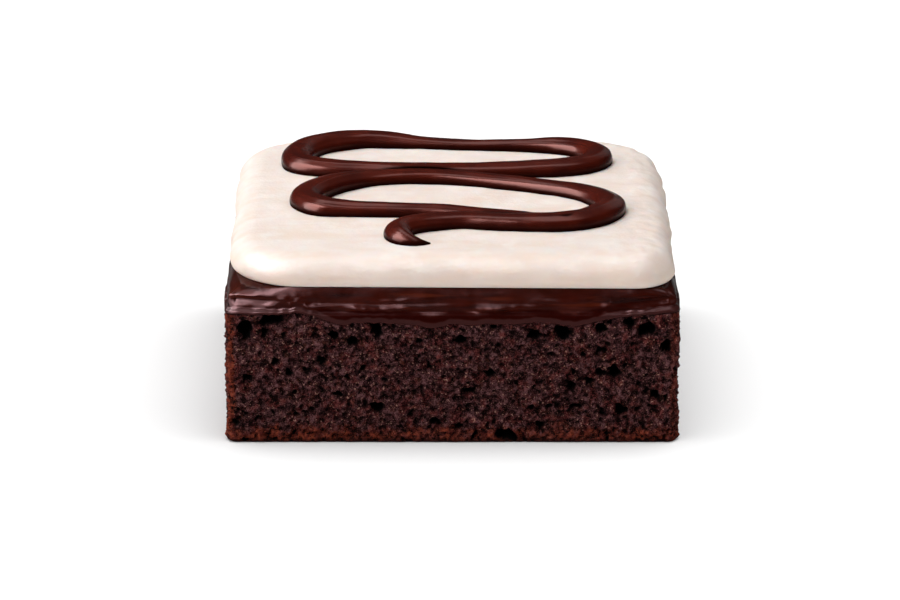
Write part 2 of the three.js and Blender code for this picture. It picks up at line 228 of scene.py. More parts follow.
# Piped line, as in the CAD model: points along its middle as (x, y, width there)
LINE_RISE = 0.52
BACK_LOOP = (
    (-21.45, 14.4, 4.0), (-20.4, 17.5, 4.1), (-17.4, 20.4, 3.9), (-13.2, 22.3, 3.5),
    (-9.0, 22.3, 3.2), (-4.0, 21.4, 2.4), (3.0, 20.6, 2.25), (9.5, 20.4, 2.4),
    (14.8, 19.6, 3.1), (18.4, 17.7, 3.5), (20.2, 14.6, 3.6), (19.0, 11.8, 3.6),
    (15.5, 9.9, 3.5), (10.0, 9.1, 3.2), (4.0, 8.6, 3.0), (-4.0, 8.6, 3.0),
    (-12.0, 9.1, 3.2), (-18.0, 9.8, 3.7), (-20.8, 11.3, 4.0),
)
FRONT_LINE = (
    (-2.8, -20.4, 0.3), (-4.2, -20.6, 1.1), (-5.5, -20.3, 2.1), (-6.6, -19.3, 3.0),
    (-7.3, -17.4, 3.4), (-6.4, -15.5, 3.4), (-3.6, -13.7, 3.3), (0.7, -12.7, 3.2),
    (5.0, -13.1, 3.3), (9.5, -13.6, 3.6), (13.8, -13.6, 3.8), (17.6, -12.4, 3.9),
    (20.4, -9.6, 3.9), (21.4, -6.6, 3.7), (20.0, -3.4, 3.5), (17.0, -0.5, 3.1),
    (12.8, 1.6, 2.8), (6.2, 4.0, 2.7), (-0.5, 5.8, 2.75), (-5.0, 6.2, 2.8),
    (-10.0, 5.6, 3.0), (-13.7, 4.2, 3.5), (-17.0, 1.7, 3.9), (-19.3, -1.5, 3.9),
    (-19.9, -3.9, 3.8), (-17.8, -7.0, 3.7), (-14.5, -7.8, 3.1), (-9.0, -8.1, 2.7),
    (-1.3, -8.7, 2.6), (4.0, -10.3, 2.6), (10.0, -12.4, 2.8), (15.0, -13.4, 2.0),
)
LINE_FOOT_TURN = math.radians(-20)
LINE_FULLNESS = 0.92
LINE_SUNK = 0.15
LINE_TIP = 0.3
LINE_EXTRA = 0.35
LINE_SWELL = ((0.02, 3.0, 41),)
# Faint ridges run along the line, as the nozzle left them.
LINE_RIDGES = ((0.4, 1.0, 42),)
RIDGES_ALONG = 0.09
RIDGES_ROUND = 2.6
# Strands this far apart along the line count as different ones where they touch.
STRAND_APART = 8.0
LOOPS_APART = 1000.0
# A groove is read in the outer part of a strand, near another one, both as shares of their half widths.
GROOVE_OWN = (0.2, 0.6)
GROOVE_OTHER = (1.0, 1.5)
GROOVE_BATCH = 4000

# Looks, with colours as they look on screen
CRUMB_TONES = {
    "plain": (67, 35, 36),
    "red": (73, 26, 26),
    "brown": (84, 41, 30),
    # painted light on the raised grains
    "raised": (118, 78, 80),
    "raised_red_lit": (120, 62, 59),
    # painted highlight: small glints on the grains
    "painted_glint": (178, 128, 112),
    # crust tones, also used as painted rim light on the upright edges
    "baked_and_rim_lit": (92, 30, 20),
    "baked_and_rim_lit_pale": (162, 72, 46),
    # painted shade along the foot
    "foot": (42, 8, 5),
    # painted shade in the gaps between grains
    "gap_shade": (10, 1, 1),
    # painted shade in the pores
    "hollow": (2, 0, 0),
}
# Painted shade along the crumb's foot, fading out between these heights
CRUMB_FOOT_SHADE = (0.8, 0.3)
ICING_LOOK = {
    "dark": (47, 10, 3),
    "light": (57, 13, 4),
    "deep_streak": (26, 4, 2),
    "pale_streak": (84, 30, 13),
    # painted shade just under the cream
    "under_cream": (34, 9, 4),
    # painted shade in the groove over the lip
    "over_lip": (40, 4, 1),
    # painted reflection on the lip's face
    "lip": (56, 25, 23),
    "roughness": (0.16, 0.24),
    "sheen": (1.0, 0.6, 0.64, 1.0),
}
LINE_LOOK = {
    "dark": (60, 14, 7),
    "light": (76, 21, 10),
    # painted shade at the foot
    "foot": (24, 5, 3),
    # painted shade in the grooves between strands
    "groove_shade": (10, 2, 1),
    "roughness": (0.2, 0.26),
    "sheen": (1.0, 0.52, 0.47, 1.0),
}
# Painted shade at the line's foot fades out between these heights
LINE_FOOT_SHADE_END = (0.1, 1.4)  # over the cream's top
CHOCOLATE_IOR = 1.37
GLOSS = 0.5
SHADED_GLOSS = 0.1
CREAM_TONES = {
    "plain": (240, 226, 218),
    "smear": (237, 218, 205),
    "pale": (245, 235, 228),
    # painted shade on the lower side
    "side": (228, 202, 184),
}
# Painted shade: the cream's side turns darker and warmer below these heights
CREAM_SIDE_SHADE = (25.2, 22.8)
FLOOR_TONE = (0.92, 0.92, 0.92, 1.0)
WHITE = (1.0, 1.0, 1.0, 1.0)

# The floor's width, and the distances from the cake where it begins to glow and glows fully
FLOOR_SIZE = 6000.0
FLOOR_GLOW = (500.0, 1100.0)
# Brightness of the surroundings, as (height from 0 at the horizon to 1 overhead, brightness)
SURROUNDINGS = ((0.0, 0.18), (0.025, 0.03), (0.5, 0.03), (0.87, 0.16), (1.0, 0.25))
# Panels of light, in metres, as (name, place, brightness, size, what each one reaches)
LIGHT_TARGET = (0.0, 0.0, 0.015)
LAYERS = ("crumb", "icing", "cream")
CAKE = LAYERS + ("line",)
CAKE_PANELS = (
    ("wall", (-0.46, -0.05, 0.42), 1.65, (0.97, 0.84), CAKE),
    ("top", (-0.15, 0.05, 0.95), 3.1, (1.0, 0.6), CAKE),
    ("right", (0.52, -0.2, 0.35), 0.6, (0.5, 0.4), LAYERS),
)
SEEN_PANELS = (
    ("wall_seen", (-0.38, -0.15, 0.5), 13.0, (0.8, 0.45), LAYERS),
    ("line_seen", (-0.47, -0.2, 0.32), 14.0, (0.56, 0.9), ("line",)),
    ("top_seen", (0.0, 0.05, 0.8), 2.2, (0.9, 0.3), LAYERS),
    ("crest_seen", (0.05, 0.05, 0.8), 3.4, (0.9, 0.26), ("line",)),
    ("edge_seen", (-0.38, -0.2, 0.56), 3.6, (0.3, 0.36), ("line",)),
    ("front_seen", (-0.3, -0.46, 0.3), 3.7, (0.5, 0.6), ("icing",)),
    ("corner_seen", (-0.55, -0.22, 0.15), 4.4, (0.5, 0.5), ("icing",)),
    ("corner_top_seen", (-0.58, 0.25, 0.5), 3.8, (0.5, 0.5), ("icing",)),
    ("streak_seen", (-0.05, -0.46, 0.44), 2.2, (0.16, 0.1), ("icing",)),
    ("back_seen", (0.35, 0.6, 0.35), 0.25, (0.5, 0.4), ("line",)),
    ("side_seen", (0.5, -0.3, 0.36), 1.0, (0.4, 0.4), LAYERS),
)
FLOOR_PANELS = (
    ("ceiling", (0.0, 0.0, 1.0), 0.8, (3.0, 3.0), ("floor",)),
    ("ceiling_wide", (0.0, 0.0, 0.9), 1.6, (5.0, 0.8), ("floor",)),
)
# Camera: its place and the range that it sees in metres, and its lens in millimetres
CAMERA_PLACE = (-0.0003, -0.7189, 0.2651)
CAMERA_PITCH = math.radians(70.5)
CAMERA_SEES = (0.01, 20.0)
CAMERA_LENS = 223.2


def lerp(start, end, share):
    return start + (end - start) * share


def smoothstep(value, low, high):
    share = np.clip((value - low) / (high - low), 0.0, 1.0)
    return share * share * (3.0 - 2.0 * share)


def window(value, rise, fall):
    """1 over a range of values, with a soft rise and a soft fall, each given as (from, to)."""
    return smoothstep(value, *rise) * (1.0 - smoothstep(value, *fall))


def hermite(t, start, end, leave, arrive):
    """A cubic curve from start to end, which leaves and arrives with these slopes."""
    t2, t3 = t * t, t * t * t
    return (
        (2 * t3 - 3 * t2 + 1) * start
        + (t3 - 2 * t2 + t) * leave
        + (3 * t2 - 2 * t3) * end
        + (t3 - t2) * arrive
    )


def smooth_rule(points, at):
    """Reads a rule of (position, value) points at the places at, with a smooth curve through them."""
    x, y = np.array(points, float).T
    slope = np.gradient(y, x)
    k = np.clip(np.searchsorted(x, at, side="right") - 1, 0, len(x) - 2)
    span = x[k + 1] - x[k]
    t = np.clip((at - x[k]) / span, 0.0, 1.0)
    return hermite(t, y[k], y[k + 1], span * slope[k], span * slope[k + 1])


def shares_up(rows):
    """The share of the way up of each row, as a column."""
    return (np.arange(rows + 1) / rows)[:, None]


def waves_at(waves, turn, share=0.0):
    return sum(s * np.sin(count * turn + phase + added * share) for count, phase, s, added in waves)


# Noise is read askew, so that its own grid never lies along a side of the cake, and apart for each seed.
ASKEW = np.array(Euler((0.52, 0.71, 0.39)).to_matrix())
SEED_APART = 17.31


def noise_field(points, size, seed):
    """Smooth noise from about -1 to 1 at points of shape (..., 3), with features as large as size."""
    flat = np.asarray(points, float).reshape(-1, 3) @ ASKEW / size + seed * SEED_APART
    made = np.array([noise.noise(Vector(p)) for p in flat])
    return made.reshape(np.shape(points)[:-1])


def noise_layers(points, layers):
    """The sum of layers of noise, each given as (strength, size, seed)."""
    return sum(strength * noise_field(points, size, seed) for strength, size, seed in layers)


class Outline:
    """A rounded rectangle seen from above, anticlockwise from the front side's left end.

    It holds each point's place, outward normal, angle round the cake and way along the outline."""

    def __init__(self, width, depth, radii, spacing):
        signs = ((1, -1), (1, 1), (-1, 1), (-1, -1))
        centres = [(sx * (width / 2 - r), sy * (depth / 2 - r)) for (sx, sy), r in zip(signs, radii)]
        places, normals = [], []
        for corner, (x, y) in enumerate(centres):
            radius, last_radius = radii[corner], radii[corner - 1]
            last_x, last_y = centres[corner - 1]
            facing = (corner - 1) * QUARTER_TURN
            normal = np.array((math.cos(facing), math.sin(facing)))
            start = np.array((last_x, last_y)) + normal * last_radius
            end = np.array((x, y)) + normal * radius
            count = round(np.linalg.norm(end - start) / spacing)
            for share in np.arange(count) / count:
                places.append(lerp(start, end, share))
                normals.append(normal)
            count = max(CORNER_STEPS, round(radius * QUARTER_TURN / spacing))
            for angle in facing + np.arange(count) / count * QUARTER_TURN:
                turned = np.array((math.cos(angle), math.sin(angle)))
                places.append(np.array((x, y)) + turned * radius)
                normals.append(turned)
        self.place = np.array(places)
        self.normal = np.array(normals)
        self.before_lean = self.place.copy()
        self.turn = np.arctan2(self.place[:, 1], self.place[:, 0])
        self.place[:, 0] = narrow_x(self.place[:, 0], self.place[:, 1])
        steps = np.linalg.norm(np.diff(self.place, axis=0, append=self.place[:1]), axis=1)
        self.length = steps.sum()
        self.along = np.concatenate(([0.0], np.cumsum(steps)[:-1]))

    def from_corner(self):
        """Distance of each point from the nearest corner of the cake, along its side."""
        return np.abs(np.abs(self.place) - (CAKE_WIDTH / 2, CAKE_DEPTH / 2)).max(1)

    def wall(self, height):
        """Places on the upright wall over the outline, at heights given as rows."""
        x = np.broadcast_to(self.place[:, 0], height.shape)
        y = np.broadcast_to(self.place[:, 1], height.shape)
        return np.dstack((x, y, height))

    def ring(self, outset, height):
        """The outline moved out along its normals, at a height: one value, or one for each point."""
        outset = np.reshape(np.broadcast_to(outset, len(self.place)), (-1, 1))
        place = self.place + self.normal * outset
        return np.column_stack((place, np.broadcast_to(height, len(place))))


def narrow_x(x, y):
    """The cake was cut a little narrower at the back, as in the CAD model."""
    towards_side = x / (CAKE_WIDTH / 2)
    towards_back = y / CAKE_DEPTH + 0.5
    return x - np.where(towards_side > 0, LEAN_RIGHT, LEAN_LEFT) * towards_side * towards_back


def edge_height(outline):
    """Height of the icing's lower edge: low along the middle of a side, high at its ends."""
    x, y = np.abs(outline.place).T
    on_right = np.where(outline.place[:, 0] > 0, 1.0, 0.0)
    along = np.minimum(x / (CAKE_WIDTH / 2), y / (CAKE_DEPTH / 2)) - EDGE_RIGHT_LATER * on_right
    level = lerp(EDGE_LOW, EDGE_HIGH - EDGE_RIGHT_LOWER * on_right, smoothstep(along, *EDGE_RISE))
    ragged = noise_layers(np.column_stack((outline.place, np.zeros(len(x)))), EDGE_RAGGED)
    return level + EDGE_RIPPLE * waves_at(EDGE_WAVES, outline.turn) + ragged


def contact_height(outline):
    """Height at which the cream's foot rests on the icing."""
    return ICING_TOP - CONTACT_SLOPE * outline.place[:, 0]


def add_object(name, data):
    made = bpy.data.objects.new(name, data)
    bpy.context.scene.collection.objects.link(made)
    return made


def add_attribute(mesh, key, values):
    """Keeps a number for the material at each vertex."""
    layer = mesh.attributes.new(key, "FLOAT", "POINT")
    layer.data.foreach_set("value", np.asarray(values, np.float32))


def new_piece(name, vertices, faces):
    """A smooth-shaded mesh object from millimetres."""
    mesh = bpy.data.meshes.new(name)
    mesh.from_pydata((np.asarray(vertices) * MM).tolist(), [], faces)
    mesh.shade_smooth()
    return add_object(name, mesh)


def ringed_piece(name, rings, tones=()):
    """A closed mesh through rings of equal count, from the bottom up, with a fan at each end.

    Tones are given as (name, values on the side), where the side is all rings but the first and last."""
    rings = np.asarray(rings)
    rows, count = rings.shape[:2]
    index = np.arange(rows * count).reshape(rows, count)
    here, there = index[:-1], index[1:]
    corners = (here, np.roll(here, -1, 1), np.roll(there, -1, 1), there)
    faces = np.stack(corners, -1).reshape(-1, 4).tolist()
    bottom, top = rows * count, rows * count + 1
    for i in range(count):
        after = (i + 1) % count
        faces.append([bottom, after, i])
        faces.append([top, int(index[-1, i]), int(index[-1, after])])
    vertices = np.concatenate((rings.reshape(-1, 3), [rings[0].mean(0)], [rings[-1].mean(0)]))
    piece = new_piece(name, vertices, faces)
    for key, side in tones:
        on_rings = np.concatenate((side[:1], side, side[-1:]))
        add_attribute(piece.data, key, np.append(on_rings, (0.0, 0.0)))
    return piece


def finish_piece(piece, node, material):
    piece.data.materials.clear()
    piece.data.materials.append(material)
    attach(piece, BODY)
    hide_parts(node)
    return piece


# Crumb


def random_pores(random, outline):
    """Pores all round the cake as (along, height, half width, half height, tilt, depth)."""
    pores = []
    for low, high, density, depth, spaced in PORE_KINDS:
        placed = []
        for _ in range(round(density * outline.length * CRUMB_TOP)):
            radius = lerp(low, high, random.random() ** SMALL_PORES_BIAS)
            along = random.random() * outline.length
            height = random.random() * CRUMB_TOP
            wide = lerp(*PORE_WIDTHS, random.random())
            tilt = random.normal(0.0, PORE_TILT)
            if spaced and any(
                math.hypot(along - a, height - h) < PORE_SPACING * (radius + r) for a, h, r in placed
            ):
                continue
            placed.append((along, height, radius))
            pores.append((along, height, radius * wide, radius * PORE_HEIGHT, tilt, radius * depth))
    return pores


def front_pores(random, outline):
    """The largest holes that the photograph shows in the front face."""
    front_start = outline.along[0] - outline.place[0, 0]
    pores = []
    for x, height, half_width, half_height in FRONT_HOLES:
        tilt = random.normal(0.0, HOLE_TILT)
        pores.append((front_start + x, height, half_width, half_height, tilt, HOLE_DEPTH * half_height))
    return pores


def dig(depth, along, height, pores, outline):
    """Deepens the field by each pore, a hollow with steep walls. Pores that meet become one hole."""
    count = depth.shape[1]
    middle = outline.length / 2
    for pore_along, pore_height, half_width, half_height, tilt, deepest in pores:
        reach = math.ceil(1.6 * max(half_width, half_height) / CRUMB_SPACING) + 2
        column = int(np.searchsorted(outline.along, pore_along % outline.length))
        near = np.arange(column - reach, column + reach + 1) % count
        across = (along[:, near] - pore_along + middle) % outline.length - middle
        up = height[:, near] - pore_height
        turned = across * math.cos(tilt) + up * math.sin(tilt)
        raised = up * math.cos(tilt) - across * math.sin(tilt)
        share = (turned / half_width) ** 2 + (raised / half_height) ** 2
        hollow = deepest * np.clip(HOLE_RIM - share, 0.0, 1.0)
        depth[:, near] = np.maximum(depth[:, near], hollow)


def pore_depth(outline, flat, height):
    """Depth of the pores at each place. They are dug in a bent field, so that no two look alike."""
    along = outline.along + noise_layers(flat, PORE_BEND_ALONG)
    level = height + noise_layers(flat, PORE_BEND_UP)
    random = np.random.default_rng(PORE_SEED)
    pores = front_pores(random, outline) + random_pores(random, outline)
    depth = np.zeros_like(height)
    dig(depth, along, level, pores, outline)
    return depth


def crumb_grains(flat):
    """Relief of cut crumb, from about -1 to 1: grains, with gaps that wind between them."""
    bent = flat + np.stack([noise_layers(flat, [layer]) for layer in GRAIN_BENDS], -1)
    gaps = GAP_STRENGTH * (0.5 - np.abs(noise_layers(bent, WINDING_GAPS)))
    return noise_layers(bent, BENT_GRAINS) + noise_layers(flat, FINE_GRAINS) + gaps


def crust_and_rim_light_share(outline, flat, height):
    """How baked the crumb is along the cake's upright edges, with painted rim light that is stronger on the
    left, and in patches along its foot.
    """
    ragged = noise_layers(flat, CRUST_RAGGED)
    edge = 1.0 - smoothstep(outline.from_corner() + EDGE_CRUST_AND_RIM_LIGHT_RAGGED * ragged, *EDGE_CRUST_AND_RIM_LIGHT_REACH)
    edge = edge * np.where(outline.place[:, 0] < 0, *EDGE_CRUST_AND_RIM_LIGHT)
    patches = lerp(*FOOT_CRUST_UNEVEN, smoothstep(noise_layers(flat, FOOT_CRUST_PATCHES), -0.3, 0.3))
    foot = patches * (1.0 - smoothstep(height + FOOT_CRUST_RAGGED * ragged, *FOOT_CRUST_REACH))
    return np.maximum(edge, FOOT_CRUST * foot)


def make_crumb():
    outline = Outline(CAKE_WIDTH, CAKE_DEPTH, (CRUMB_CORNER,) * 4, CRUMB_SPACING)
    edge = edge_height(outline)
    share = shares_up(round(CRUMB_TOP / CRUMB_SPACING))
    height = share * edge
    flat = outline.wall(height)
    depth, grains = pore_depth(outline, flat, height), crumb_grains(flat)

    outset = CRUMB_SWELL * waves_at(CRUMB_WAVES, outline.turn, share) * np.sin(math.pi * share)
    foot = smoothstep(share * CRUMB_TOP, -FOOT_ROUND, FOOT_ROUND)
    outset = outset - CRUMB_INSET - FOOT_ROUND * (1.0 - foot) * 2.0
    clear = np.sqrt(np.clip(share * CRUMB_TOP / RELIEF_CLEAR, 0.0, 1.0))
    deepest = lerp(*DEEPEST, smoothstep(np.abs(outline.normal).min(1), 0.0, 0.5))
    outset += (CRUMB_RELIEF * grains - np.minimum(depth, deepest)) * clear

    # The rim follows the underside of the icing, which rises or falls towards the inside.
    under_icing = 0.02
    inward = np.clip(-outset[-1] / EDGE_BAND, 0.0, 1.0)
    levels = height.copy()
    levels[-1] = lerp(edge, CRUMB_TOP, inward) - under_icing
    rings = [outline.ring(-EDGE_BAND, 0.0)]
    rings += [outline.ring(out, up) for out, up in zip(outset, levels)]
    rings += [outline.ring(-EDGE_BAND - 0.4, CRUMB_TOP - under_icing)]

    tones = (
        # painted shade in the pores
        ("hollow", np.clip(depth / 0.7, 0.0, 1.0)),
        # painted light on the raised grains
        ("raised", np.clip(0.5 + 0.4 * grains, 0.0, 1.0)),
        # baked crust, with painted rim light on the upright edges
        ("crust_and_rim_light", crust_and_rim_light_share(outline, flat, levels)),
    )
    piece = ringed_piece("crumb", rings, tones)
    return finish_piece(piece, "chocolate_sponge", crumb_material())


# Icing


def near_cream_foot(place):
    """The points of the cream's foot that are nearest to these points of the cake's outline."""
    x, y = place.T
    front_right, back_right, back_left, front_left = CREAM_CORNERS
    right = np.where(y < 0, front_right, back_right)
    left = np.where(y < 0, front_left, back_left)
    radius = np.where(x > 0, right, left)[:, None]
    half = np.array((CAKE_WIDTH, CAKE_DEPTH)) / 2 - CREAM_FOOT_INSET
    centre = half - radius
    local = np.abs(place) - centre
    on_arc = centre + local / np.linalg.norm(local, axis=1)[:, None] * radius
    on_side = np.where(local < 0, np.abs(place), half)
    foot = np.where(local.min(1)[:, None] > 0, on_arc, on_side) * np.where(place < 0, -1.0, 1.0)
    foot[:, 0] = narrow_x(foot[:, 0], foot[:, 1])
    return foot


def icing_profile(share, edge, contact, from_corner):
    """Outset of the icing's plain side, and where each row lies on its profile, from 0 to 1."""
    lip = np.maximum(LIP_TOP - edge, LIP_LEAST) / (contact - edge)
    above_lip = LIP_SHARE + (share - lip) / (1.0 - lip) * (1.0 - LIP_SHARE)
    profile_share = np.where(share < lip, share / lip * LIP_SHARE, above_lip)
    outset = smooth_rule(ICING_PROFILE, profile_share)
    thinning = LIP_THINNING * (1.0 - smoothstep(from_corner, *LIP_THINNING_REACH))
    return outset - np.clip(outset, 0.0, 1.0) * thinning, profile_share


def corner_recess(outline, share):
    """How far the icing lies back near the cake's corners."""
    reach = outline.from_corner() + CORNER_REACH_LESS * smoothstep(share, 0.35, 0.85)
    recess = CORNER_RECESS * (1.0 - smoothstep(reach, *CORNER_REACH))
    towards_front = lerp(RECESS_AWAY_FROM_FRONT, 1.0, np.clip(-outline.normal[:, 1], 0.0, 1.0))
    return recess * towards_front * smoothstep(share, -0.1, 0.9)


def spreading_marks(wall):
    """Marks drawn out along each side by the knife."""
    return sum(noise_layers(wall * (drawn, drawn, 1.0), [layer]) for drawn, layer in SPREADING_MARKS)


def crinkles(wall, from_corner):
    """Icing crinkled where the knife was lifted."""
    strength = window(from_corner, *CRINKLE_REACH)
    at_corner = 1.0 - smoothstep(from_corner, *CORNER_CRINKLE_REACH)
    strength = strength + CORNER_CRINKLES * at_corner * (wall[..., 0] > 0)
    return CRINKLE_RELIEF * strength * noise_layers(wall, CRINKLES)


def folds(wall, from_corner):
    """Slanting folds of icing that was pushed along by the knife."""
    turn = math.atan(FOLD_SLOPE)
    along = wall[..., 0] * math.cos(turn) + wall[..., 2] * math.sin(turn)
    across = wall[..., 2] * math.cos(turn) - wall[..., 0] * math.sin(turn)
    place = np.stack((along / FOLD_LENGTH, wall[..., 1] / FOLD_LENGTH, across / FOLD_THICKNESS), -1)
    strength = 1.0 - smoothstep(from_corner, *FOLD_REACH)
    strength = strength * np.where(wall[..., 0] < 0, 1.0, FOLD_ON_RIGHT)
    return strength * noise_layers(place, FOLDS)


def rolls(wall, on_front):
    """Low rolls left by the knife: each rises at its left end and fades to the right."""
    made = np.zeros(wall.shape[:2])
    x = wall[..., 0]
    height = wall[..., 2] + ROLL_SAG * np.sin(ROLL_SAG_WAVE * x)
    for x_from, x_top, x_to, level, half_height, outset in FRONT_ROLLS:
        along = window(x, (x_from, x_top), (x_top, x_to))
        made += outset * along * np.exp(-(((height - level) / half_height) ** 2))
    return made * on_front * (1.0 + noise_layers(wall * (1.0, 1.0, ROLL_DRAWN_UP), ROLL_UNEVEN))


def lean_to_cream(outline, side, share, contact):
    """Leans the upper part of the side in to the cream's foot, which is furthest in at the corners."""
    foot = np.column_stack((near_cream_foot(outline.before_lean), contact))
    far = np.minimum(1.0, np.linalg.norm(foot - side[-1], axis=1) / SAG_FULL_AT)
    sag = SHOULDER_SAG * far * (share * (1 - share) * 4)
    side = lerp(side, foot, smoothstep(share, SHOULDER_FROM, 1.0)[..., None])
    side[..., 2] -= sag * smoothstep(share, *SAG_RISE)
    return side


def icing_tones(wall, edge, contact):
    """Shares of the painted reflection on the lip's face, the painted shade in the groove over it and the
    painted shade under the cream.
    """
    x, height = wall[..., 0], wall[..., 2]
    face = 1.0 - smoothstep(height - edge, *LIP_REFLECTION_END)
    groove_shade = window(height - edge, LIP_REFLECTION_END, GROOVE_SHADE_END) * smoothstep(x, *GROOVE_SHADE_FROM_LEFT)
    groove_shade = groove_shade * (1.0 - 0.5 * smoothstep(x, *GROOVE_SHADE_WEAK_ON_RIGHT))
    shade_under_cream = smoothstep(contact - height, *UNDER_CREAM_SHADE) * smoothstep(x, *UNDER_CREAM_SHADE_FROM_LEFT)
    return ("lip", face), ("over_lip", groove_shade), ("under_cream", shade_under_cream)


def make_icing():
    outline = Outline(CAKE_WIDTH, CAKE_DEPTH, (CRUMB_CORNER,) * 4, ICING_SPACING)
    edge, contact = edge_height(outline), contact_height(outline)
    from_corner = outline.from_corner()
    share = shares_up(ICING_ROWS)
    wall = outline.wall(lerp(edge, contact, share))

    outset, profile_share = icing_profile(share, edge, contact, from_corner)
    outset += ICING_SWELL * waves_at(ICING_WAVES, outline.turn, share) * np.sin(math.pi * share)
    over_lip = smoothstep(profile_share, 0.36, 0.5) * (1.0 - smoothstep(share, 0.85, 1.0))
    outset += over_lip * spreading_marks(wall)
    outset -= corner_recess(outline, share)
    outset += crinkles(wall, from_corner) * window(share, (0.15, 0.35), (0.6, 0.85))
    outset += rolls(wall, outline.normal[:, 1] < FACES_FRONT)
    outset += folds(wall, from_corner) * window(share, (0.1, 0.35), (0.75, 1.0))

    side = np.array([outline.ring(out, up) for out, up in zip(outset, wall[..., 2])])
    side = lean_to_cream(outline, side, share, contact)
    under_cream = side[-1] * (0.96, 0.96, 1.0) + (0.0, 0.0, 0.05)
    rings = [outline.ring(-EDGE_BAND, CRUMB_TOP), *side, under_cream]
    piece = ringed_piece("icing", rings, icing_tones(wall, edge, contact))
    return finish_piece(piece, "chocolate_icing", icing_material())


# Cream


def make_cream():
    inset = 2 * CREAM_FOOT_INSET
    outline = Outline(CAKE_WIDTH - inset, CAKE_DEPTH - inset, CREAM_CORNERS, CREAM_SPACING)
    # The rows of the side lie closer together near its foot and its top.
    share = (1.0 - np.cos(shares_up(CREAM_ROWS) * math.pi)) / 2
    outset = smooth_rule(CREAM_PROFILE, share)
    outset = outset + CREAM_SWELL * np.sin(math.pi * share) * waves_at(CREAM_WAVES, outline.turn, share)
    height = lerp(contact_height(outline), CREAM_TOP, share)
    rings = np.array([outline.ring(out, up) for out, up in zip(outset, height)])
    centre = rings[-1].mean(0)
    inwards = 1.0 - np.arange(1, CREAM_TOP_RINGS) / CREAM_TOP_RINGS
    top = np.array([centre + (rings[-1] - centre) * s for s in inwards])
    rings = np.concatenate((rings, top))
    for _ in range(CREAM_SMOOTHING):
        rings[1:-1] = 0.5 * rings[1:-1] + 0.25 * (rings[:-2] + rings[2:])

    relief = noise_layers(rings, CREAM_LUMPS)
    relief = relief + smoothstep(rings[..., 0], *CREAM_ROUGH_X) * noise_layers(rings, CREAM_ROUGH_LUMPS)
    relief = relief + noise_layers(rings * CREAM_DRAWN_OUT, CREAM_STROKES)
    # It stands out sideways on the side and upwards on the top, and leaves the foot where it is.
    on_top = np.ones(len(top))
    outwards = np.concatenate((outline.normal, np.zeros((len(outline.normal), 1))), axis=1)
    upright = np.concatenate((smoothstep(share[:, 0], 0.55, 1.0), on_top))[:, None, None]
    fixed = np.concatenate((smoothstep(share[:, 0], 0.0, 0.12), on_top))[:, None, None]
    direction = outwards * (1.0 - upright) + np.array((0.0, 0.0, 1.0)) * upright
    piece = ringed_piece("cream", rings + direction * relief[..., None] * fixed)
    return finish_piece(piece, "cream_layer", cream_material())


# Piped line


def curve_through(points, closed):
    """A centripetal curve through points, as in the CAD model, sampled evenly between each two of them."""
    points = np.array(points, float)
    count = len(points)
    made = []
    for i in range(count if closed else count - 1):
        start, end = points[i], points[(i + 1) % count]
        before = points[i - 1] if closed or i else 2 * start - end
        after = points[(i + 2) % count] if closed or i + 2 < count else 2 * end - start
        stops = (before, start, end, after)
        first, middle, last = [math.sqrt(np.linalg.norm(b - a)) for a, b in zip(stops, stops[1:])]
        leave = (start - before) / first - (end - before) / (first + middle) + (end - start) / middle
        arrive = (end - start) / middle - (after - start) / (middle + last) + (after - end) / last
        for t in np.arange(CURVE_SAMPLES) / CURVE_SAMPLES:
            made.append(hermite(t, start, end, leave * middle, arrive * middle))
    if not closed:
        made.append(points[-1])
    return np.array(made)


def evenly(curve, closed):
    """The same curve with points LINE_STEP apart."""
    if closed:
        curve = np.concatenate((curve, curve[:1]))
    steps = np.linalg.norm(np.diff(curve[:, :2], axis=0), axis=1)
    along = np.concatenate(([0.0], np.cumsum(steps)))
    places = np.linspace(0.0, along[-1], round(along[-1] / LINE_STEP) + 1)
    if closed:
        places = places[:-1]
    return np.column_stack([np.interp(places, along, column) for column in curve.T])


def line_section():
    """The line's section for a width of 1, from foot to foot: angles, ways across and heights."""
    turn = np.linspace(LINE_FOOT_TURN, math.pi - LINE_FOOT_TURN, LINE_SECTION_POINTS)
    across = np.sign(np.cos(turn)) * np.abs(np.cos(turn)) ** LINE_FULLNESS / 2
    lift = np.sign(np.sin(turn)) * np.abs(np.sin(turn)) ** LINE_FULLNESS
    return turn, across, (lift - lift.min()) / (1.0 - lift.min()) * LINE_RISE


def tube_faces(rows, size, closed):
    """Faces of a tube with rows of size points, and its two ends where it isn't closed."""
    faces = []
    for i in range(rows if closed else rows - 1):
        after = (i + 1) % rows
        for k in range(size):
            k_next = (k + 1) % size
            faces.append((i * size + k, after * size + k, after * size + k_next, i * size + k_next))
    if not closed:
        faces.append(tuple(range(size)))
        faces.append(tuple((rows - 1) * size + k for k in reversed(range(size))))
    return faces


